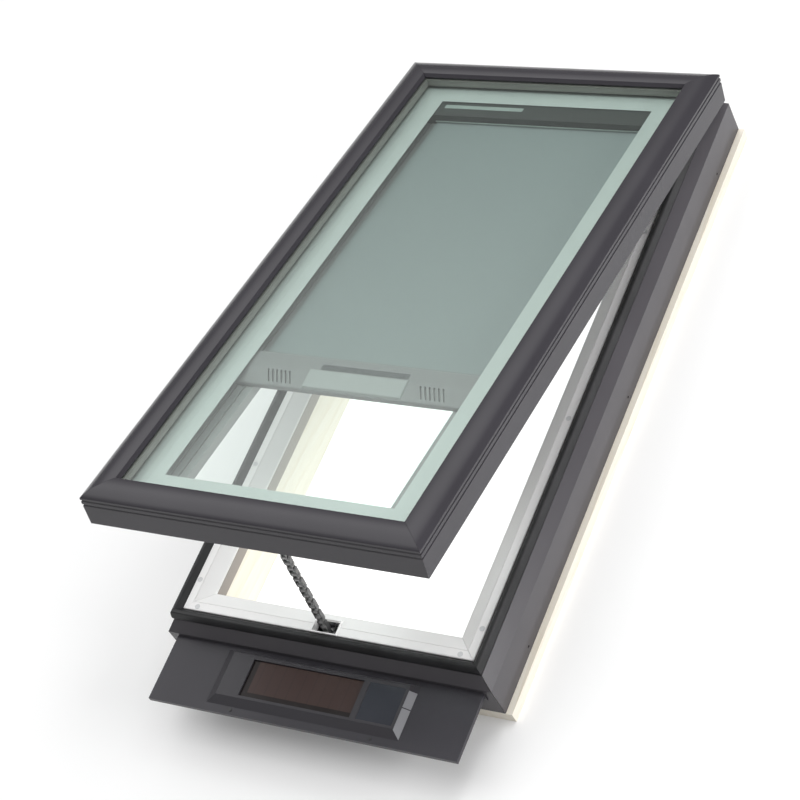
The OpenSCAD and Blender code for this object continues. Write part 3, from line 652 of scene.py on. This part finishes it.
def pane_glass(name, tint):
    """Flat glass: light goes straight through with a slight tint. The share that mirrors rises with
    the fifth power of the slant, from 0.04 straight on to 1 along the surface."""
    made = bpy.data.materials.new(name)
    made.use_nodes = True
    tree = made.node_tree
    tree.nodes.clear()
    through = add(tree, "BsdfTransparent", {"Color": (*tint, 1)})
    mirror = add(tree, "BsdfGlossy", {"Roughness": 0.0})
    slant = add(tree, "LayerWeight", {"Blend": 0.5})
    steep = add(tree, "Math", {1: 5.0}, operation="POWER")
    mirrored = add(tree, "MapRange", {"To Min": 0.04, "To Max": 1.0})
    both = add(tree, "MixShader")
    out = add(tree, "OutputMaterial")
    tree.links.new(slant.outputs["Facing"], steep.inputs[0])
    tree.links.new(steep.outputs["Value"], mirrored.inputs["Value"])
    tree.links.new(mirrored.outputs["Result"], both.inputs["Fac"])
    tree.links.new(through.outputs["BSDF"], both.inputs[1])
    tree.links.new(mirror.outputs["BSDF"], both.inputs[2])
    tree.links.new(both.outputs["Shader"], out.inputs["Surface"])
    return made


green_tint = (0.976, 0.996, 0.987)
clad(pane_glass("outer_glass", green_tint), "outer_pane")
clad(pane_glass("inner_glass", green_tint), "inner_pane")
spacer_grey = moulded("spacer_grey", (0.24, 0.245, 0.225), 0.5, scale=260.0, relief=0.3)
spacer_low, spacer_high = closed_box("pane_spacer")
spacer_in = (14 * mm, 55.5 * mm)
spacer_clear = 0.15 * mm


def ring_section(insets, low, high):
    """A rectangular section as a ring of four mitred strips round the closed sash, swung open."""
    outline = np.array([(insets[0], low), (insets[0], high), (insets[1], high), (insets[1], low)])
    corners = np.stack([
        np.column_stack([rectangle_corner(k, outline[:, 0], sash_low, sash_high), outline[:, 1]])
        for k in range(4)])
    return carried(swung(corners, -opening), ring=True)


spacer = made_piece("spacer_frame", *ring_section(spacer_in, spacer_low[2] + spacer_clear,
                                                  spacer_high[2] - spacer_clear), spacer_grey)
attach(spacer, "sash")
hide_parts("pane_spacer")

enamel_clear = 0.02 * mm
enamel_top = closed_box("inner_pane")[0][2] - enamel_clear
enamel_t = 0.25 * mm
enamel_outer = 16 * mm
enamel_inner = (106 * mm, 103 * mm, 95 * mm)
enamel_green = moulded("enamel_green", (0.58, 0.62, 0.61), 0.35, relief=0.05)


def enamel_ring():
    """The border as a flat ring of four mitred strips: four section points at each corner."""
    side, front, back = enamel_inner
    outer = [rectangle_corner(k, np.array(enamel_outer), sash_low, sash_high) for k in range(4)]
    x0, x1 = sash_low[0] + side, sash_high[0] - side
    y0, y1 = sash_low[1] + front, sash_high[1] - back
    inner = [(x0, y0), (x1, y0), (x1, y1), (x0, y1)]
    top, bottom = enamel_top, enamel_top - enamel_t
    return np.array([[(*o, bottom), (*o, top), (*i, top), (*i, bottom)]
                     for o, i in zip(outer, inner)])


enamel = made_piece("enamel_border", *carried(swung(enamel_ring(), -opening), ring=True),
                    enamel_green)
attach(enamel, "sash")

# ---- Push chain ----
# Twenty links of stamped steel: pairs of waisted plates, inner and outer by turns, on rollers
# and riveted pins. The chain stands on the actuator and holds up the sash's bracket, and it
# flattens into the actuator as the sash closes.

lean_joint = next(joint for joint in frame["joints"] if joint["name"] == "chain_lean")
chain_foot = np.array(lean_joint["pos_m"])
bracket_rise = 18 * mm
chain_top = swung(chain_foot + [0, 0, bracket_rise], -opening)
chain_way = (chain_top - chain_foot) / np.linalg.norm(chain_top - chain_foot)
link_count = 20
link_pitch = np.linalg.norm(chain_top - chain_foot) / link_count
eye_r = 5.2 * mm
waist = 4.0 * mm
plate_t = 1.8 * mm
inner_plate_x = 4.2 * mm
outer_plate_x = 6.3 * mm
roller_r = 4.3 * mm
pin_r = 2.3 * mm
pin_half = 8.7 * mm
barrel_points = 16


def plate_outline():
    """Outline of a link plate, along and across the chain: part of a circle round each pin, and a
    narrower waist between them."""
    top = arc((link_pitch, 0), eye_r, -50, 50, 7)
    bottom = arc((0, 0), eye_r, 130, 230, 7)
    middle = np.array([[link_pitch / 2, waist]])
    return np.concatenate([top, middle, bottom, -middle + [link_pitch, 0]])


def chain_place(x, along, across):
    """Points at a distance along the chain's line, across it in the Y-Z plane, and at x."""
    sideways = np.array([0, chain_way[2], -chain_way[1]])
    place = chain_foot + np.multiply.outer(along, chain_way) + np.multiply.outer(across, sideways)
    place[..., 0] = x
    return place


def slab(outline, shift, x0, x1):
    """Two stations of an outline at x0 and x1, shifted along the chain."""
    return np.stack([chain_place(x, outline[:, 0] + shift, outline[:, 1]) for x in (x0, x1)])


def link_plates(links, plate_x):
    """Both plates of each listed link."""
    outline = plate_outline()
    return [carried(slab(outline, k * link_pitch, side * plate_x, side * (plate_x + plate_t)))
            for k in links for side in (-1, 1)]


def barrels(pins, radius, half):
    """A short round bar across the chain at each listed pin."""
    circle = arc((0, 0), radius, 0, 360 - 360 / barrel_points, barrel_points)
    return [carried(slab(circle, k * link_pitch, -half, half)) for k in pins]


dark_zinc = zinc("dark_zinc", (0.24, 0.24, 0.245), 0.42)
worn_zinc = zinc("worn_zinc", (0.40, 0.40, 0.40), 0.34)
all_pins = range(link_count + 1)
outer_parts = (link_plates(range(1, link_count, 2), outer_plate_x)
               + barrels(all_pins, pin_r, pin_half))
inner_parts = (link_plates(range(0, link_count, 2), inner_plate_x)
               + barrels(all_pins, roller_r, inner_plate_x))
for name, parts, material in (("chain_outer", outer_parts, dark_zinc),
                              ("chain_inner", inner_parts, worn_zinc)):
    piece = eased(made_piece(name, *gathered(parts), material), 0.3 * mm, 1)
    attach(piece, "chain")
    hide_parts(name + "_links")
    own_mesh(piece)

# ---- Blind rails and cassette ----
# Pale grey painted rails stand along both sides of the sash, each with two fine grooves in its
# top. The dark cassette across the back hides the roller, and has a moulded cap at each end.

rail_paint = powder_coat("rail_paint", (0.27, 0.275, 0.275), 0.4, 0.15)
cassette_paint = powder_coat("cassette_paint", (0.024, 0.028, 0.027), 0.4, 0.2)
cap_plastic = moulded("cap_plastic", (0.020, 0.024, 0.023), 0.45)
clad(rail_paint, "blind_rails")
clad(cassette_paint, "blind_cassette")
clad(cap_plastic, "cassette_caps")
clad(bright_zinc, "blind_motor")

cassette_low, cassette_high = closed_box("blind_cassette")
cloth_low, cloth_high = closed_box("blind_cloth")
lip_r = 1.3 * mm
lip_half = cassette_high[0] - 34 * mm
lip_clear = 0.2 * mm
lip_rise = 3.2 * mm
lip_middle = (cassette_low[1] - lip_r - lip_clear, cloth_low[2] + lip_rise)
lip_circle = arc(lip_middle, lip_r, 0, 330, 12)
strip_x = (-213 * mm, -41 * mm)
strip_y = (24 * mm, 35 * mm)
strip_rise = 0.8 * mm
strip_ease = 1 * mm
strip_outline = np.array([
    (strip_y[0], 0), (strip_y[0], 0.5 * strip_rise), (strip_y[0] + strip_ease, strip_rise),
    (strip_y[1] - strip_ease, strip_rise), (strip_y[1], 0.5 * strip_rise), (strip_y[1], 0)])
strip_outline += [cassette_low[1], cassette_high[2]]


def bar_between(outline, x0, x1):
    """An outline in Y and Z carried from x0 to x1 in the closed sash, and swung open."""
    flat = np.stack([np.column_stack([np.full(len(outline), x), outline]) for x in (x0, x1)])
    return carried(swung(flat, -opening))


# Painted highlight: the pale round rod along the cassette's lower front edge stands for the light
# that edge catches. A pale strip, raised 0.8 mm, lies on the cassette's top left of the middle.
pale_highlight_and_strip = moulded("pale_highlight_and_strip", (0.36, 0.42, 0.40), 0.4, relief=0.1)
trim_parts = [bar_between(lip_circle, -lip_half, lip_half), bar_between(strip_outline, *strip_x)]
for name, part in zip(("cassette_lip_highlight", "cassette_strip"), trim_parts):
    trim = made_piece(name, *part, pale_highlight_and_strip, sharp=50)
    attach(trim, "sash")

# ---- Blind cloth ----
# One width of closely woven pale grey polyester, glued to the roller and stretched flat to the
# bar. It leaves the roller's top, passes the cassette's slot and lies just over the rails.


def weave(name, colour, threads):
    """Plain weave on the cloth's own map: the higher of a warp wave and a weft wave, mixed 60 to 40
    with a noise for the slubs."""
    made, tree, principled = shader(name, colour, Roughness=0.85, Sheen_Weight=0.25)
    principled.inputs["Sheen Roughness"].default_value = 0.5
    place = add(tree, "UVMap", uv_map="cloth")
    warp = pattern(tree, "TexWave", place.outputs["UV"], {"Scale": threads},
                   wave_type="BANDS", bands_direction="X")
    weft = pattern(tree, "TexWave", place.outputs["UV"], {"Scale": threads},
                   wave_type="BANDS", bands_direction="Y")
    slubs = pattern(tree, "TexNoise", place.outputs["UV"], {"Scale": 90.0, "Detail": 4.0})
    over = add(tree, "Math", operation="MAXIMUM")
    tree.links.new(warp, over.inputs[0])
    tree.links.new(weft, over.inputs[1])
    mixed = add(tree, "Mix", {"Factor": 0.4})
    tree.links.new(over.outputs["Value"], mixed.inputs["A"])
    tree.links.new(slubs, mixed.inputs["B"])
    darker, lighter = (tuple(part * share for part in colour) for share in (0.9, 0.96))
    paint(tree, principled, mixed.outputs["Result"], [(0.2, darker), (0.8, lighter)])
    emboss(tree, principled, over.outputs["Value"], 0.03, 0.05 * mm)
    return made


bar_low, bar_high = closed_box("blind_bar")
cloth_z = cloth_low[2] + 0.25 * mm
cloth_half = (cloth_high[0] - cloth_low[0]) / 2
slot_y = cassette_low[1] + 5 * mm
off_roller = (cloth_high[1], cloth_high[2] - 0.3 * mm)
flat_run = slot_y - bar_high[1]
cloth_length = flat_run + math.dist((slot_y, cloth_z), off_roller)
cloth_steps = (40, 90)
sag_depth = 0.35 * mm
ripple_height = 0.12 * mm


def cloth_surface(across, along):
    """The cloth: flat from the bar to the slot, then straight up to the roller's top. It sags as a
    parabola across and has a faint cosine ripple, both times a half sine along the flat run."""
    distance = along * cloth_length
    climb = np.clip((distance - flat_run) / (cloth_length - flat_run), 0, 1)
    y = bar_high[1] + np.minimum(distance, flat_run) + climb * (off_roller[0] - slot_y)
    free = np.sin(np.pi * np.clip(distance / flat_run, 0, 1))
    sag = sag_depth * (across ** 2 - 1) * free
    ripple = ripple_height * np.cos(2.5 * np.pi * across + 4 * along) * free
    z = cloth_z + sag + ripple + climb * (off_roller[1] - cloth_z)
    return np.stack([across * cloth_half, y, z], -1)


across, along = np.meshgrid(np.linspace(-1, 1, cloth_steps[0]), np.linspace(0, 1, cloth_steps[1]))
cloth_points = swung(cloth_surface(across, along), -opening)
row, column = np.meshgrid(np.arange(cloth_steps[1] - 1), np.arange(cloth_steps[0] - 1),
                          indexing="ij")
corner = row * cloth_steps[0] + column
above = corner + cloth_steps[0]
cloth_faces = np.stack([corner, corner + 1, above + 1, above], -1).reshape(-1, 4)
cloth_grey = weave("blind_weave", (0.268, 0.308, 0.314), 520.0)
cloth = made_piece("blind_fabric", cloth_points.reshape(-1, 3), cloth_faces.tolist(), cloth_grey)
cloth_map = cloth.data.uv_layers.new(name="cloth")
point_of = np.empty(len(cloth.data.loops), int)
cloth.data.loops.foreach_get("vertex_index", point_of)
uv = np.stack([across.ravel() * cloth_half, along.ravel() * cloth_length], -1)[point_of]
cloth_map.data.foreach_set("uv", uv.astype(np.float32).ravel())
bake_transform(cloth)
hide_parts("blind_cloth")
clad(moulded("rolled_cloth", (0.27, 0.30, 0.30), 0.85, scale=900.0, relief=0.5), "blind_roller")

# ---- Blind bar ----
# A hollow grey moulding whose front half slopes down, with a paler raised handle, a dark strip
# of painted shade in the shallow finger slot behind it, and a small grille of slanting slots at
# each side. Caps close its ends, and black shoes slide in the rails.

handle_half = 100 * mm
handle_y = (4 * mm, 44 * mm)
handle_rise = 2.6 * mm
finger_x = (-82 * mm, 95 * mm)
finger_y = (46.5 * mm, 60.5 * mm)
finger_deep = 0.45 * mm
finger_ease = 0.8 * mm
vent_mid = 155 * mm
vent_pitch = 9 * mm
vent_half = 1.5 * mm
vent_y = (9 * mm, 35 * mm)
vent_deep = 4.5 * mm
vent_ease = 0.6 * mm
vent_slant = 0.5
slant_reach = (34 * mm, 6 * mm)
slant_ease = (14 * mm, 12 * mm)
slope_y = 42 * mm
slope_fall = 8.5 * mm
edge_r = 4 * mm
bar_depth = bar_high[1] - bar_low[1]
bar_body_top = bar_high[2] - handle_rise
vent_middles = [side * vent_mid + vent_pitch * (k - 2.5) for side in (-1, 1) for k in range(6)]


def plateau(value, low, high, ease):
    """1 between low and high, 0 outside, with a straight ramp of width ease centred on each."""
    return np.clip((value - low) / ease + 0.5, 0, 1) * np.clip((high - value) / ease + 0.5, 0, 1)


def body_fall(y):
    """How far the body's top lies under its highest level: nothing at the back, then the power 1.3
    of the share of the slope down to the front, and a quarter circle along both long edges."""
    share = np.clip((slope_y - y) / slope_y, 0, 1)
    near = np.clip(edge_r - np.minimum(y, bar_depth - y), 0, edge_r)
    return slope_fall * share ** 1.3 + edge_r - np.sqrt(edge_r ** 2 - near ** 2)


def bar_top(x, y):
    """Height of the bar's top: the body, less the finger strip's recess and the twelve vents."""
    finger = plateau(x, *finger_x, finger_ease) * plateau(y, *finger_y, finger_ease)
    vents = sum(plateau(x, middle - vent_half, middle + vent_half, vent_ease)
                for middle in vent_middles) * plateau(y, *vent_y, vent_ease)
    return bar_body_top - body_fall(y) - finger_deep * finger - vent_deep * vents


def lines(start, end, edges, ease, step):
    """Grid lines from start to end: even steps, and a pair astride each edge of a feature."""
    even = np.linspace(start, end, int((end - start) / step) + 1)
    pairs = np.concatenate([np.array(edges) - ease / 2, np.array(edges) + ease / 2])
    return np.unique(np.round(np.concatenate([even, pairs]), 6))


def relief(x, y, top, bottom):
    """Points and faces of a closed slab on a grid of x and y: its top at a height for each grid
    point, a flat bottom, and walls between their borders."""
    upper = np.stack([x, y, top], -1).reshape(-1, 3)
    lower = np.stack([x, y, np.full(x.shape, bottom)], -1).reshape(-1, 3)
    number = np.arange(x.size).reshape(x.shape)
    cells = np.stack([number[:-1, :-1], number[:-1, 1:], number[1:, 1:], number[1:, :-1]], -1)
    cells = cells.reshape(-1, 4)
    rim = np.concatenate([number[0, :-1], number[:-1, -1], number[-1, :0:-1], number[:0:-1, 0]])
    walls = np.stack([rim, np.roll(rim, -1), np.roll(rim, -1) + x.size, rim + x.size], -1)
    return np.concatenate([upper, lower]), np.concatenate([cells, cells + x.size, walls]).tolist()


vent_edges = [middle + half for middle in vent_middles for half in (-vent_half, vent_half)]
bar_x = lines(bar_low[0], bar_high[0], vent_edges + list(finger_x), vent_ease, 6 * mm)
quarter = edge_r * (1 - np.cos(np.linspace(0, np.pi / 2, 8)))
bar_y = np.unique(np.concatenate([lines(0, bar_depth, vent_y + finger_y, vent_ease, 4 * mm),
                                  quarter, bar_depth - quarter]))
grid_x, grid_y = np.meshgrid(bar_x, bar_y)
slanting = plateau(abs(grid_x), vent_mid - slant_reach[0], vent_mid + slant_reach[0], slant_ease[0])
slanting *= plateau(grid_y, vent_y[0] - slant_reach[1], vent_y[1] + slant_reach[1], slant_ease[1])
moved_x = grid_x - vent_slant * slanting * (grid_y - sum(vent_y) / 2)
bar_points, bar_faces = relief(moved_x, bar_low[1] + grid_y, bar_top(grid_x, grid_y), bar_low[2])
bar_grey = moulded("bar_grey", (0.245, 0.245, 0.25), 0.42, scale=600.0, relief=0.25)
bar = made_piece("bar_moulding", swung(bar_points, -opening), bar_faces, bar_grey, sharp=40)
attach(bar, "blind_bar")
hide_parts("blind_bar")

# Painted shade: the finger slot is only 0.45 mm deep, so a dark grey strip laid in it stands for its
# shadow.
finger_edge = 0.3 * mm
finger_low = bar_body_top - 0.5 * mm
finger_top = bar_body_top - 0.12 * mm
finger_front = bar_low[1] + finger_y[0] + finger_edge
finger_back = bar_low[1] + finger_y[1] - finger_edge
finger_outline = np.array([(finger_front, finger_low), (finger_front, finger_top),
                           (finger_back, finger_top), (finger_back, finger_low)])
slot_shade_grey = moulded("slot_shade_grey", (0.078, 0.082, 0.089), 0.55, scale=600.0, relief=0.3)
finger_parts = bar_between(finger_outline, finger_x[0] + finger_edge, finger_x[1] - finger_edge)
slot_shade_strip = made_piece("slot_shade_strip", *finger_parts, slot_shade_grey)
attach(slot_shade_strip, "blind_bar")

handle_r = 3 * mm
handle_under = bar_low[2] + 1 * mm
near_edge = np.sort(handle_r * (1 - np.sin(np.linspace(0, np.pi / 2, 6))))
handle_x = np.concatenate([-handle_half + near_edge, [0], handle_half - near_edge[::-1]])
handle_rows = np.concatenate([handle_y[0] + near_edge, np.linspace(10 * mm, 38 * mm, 8),
                              handle_y[1] - near_edge[::-1]])
grid_x, grid_y = np.meshgrid(handle_x, handle_rows)
to_end = handle_half - abs(grid_x)
to_edge = np.minimum(to_end, np.minimum(grid_y - handle_y[0], handle_y[1] - grid_y))
rounding = handle_r - np.sqrt(handle_r ** 2 - np.clip(handle_r - to_edge, 0, handle_r) ** 2)
handle_top = bar_high[2] - body_fall(grid_y) - rounding
handle_points, handle_faces = relief(grid_x, bar_low[1] + grid_y, handle_top, handle_under)
handle_grey = moulded("handle_grey", (0.37, 0.385, 0.385), 0.36, scale=600.0, relief=0.2)
handle = made_piece("bar_handle", swung(handle_points, -opening), handle_faces, handle_grey,
                    sharp=60)
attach(handle, "blind_bar")
cap_grey = moulded("cap_grey", (0.17, 0.18, 0.18), 0.45, scale=600.0, relief=0.25)
clad(cap_grey, "bar_caps")
clad(black_plastic, "bar_shoes")
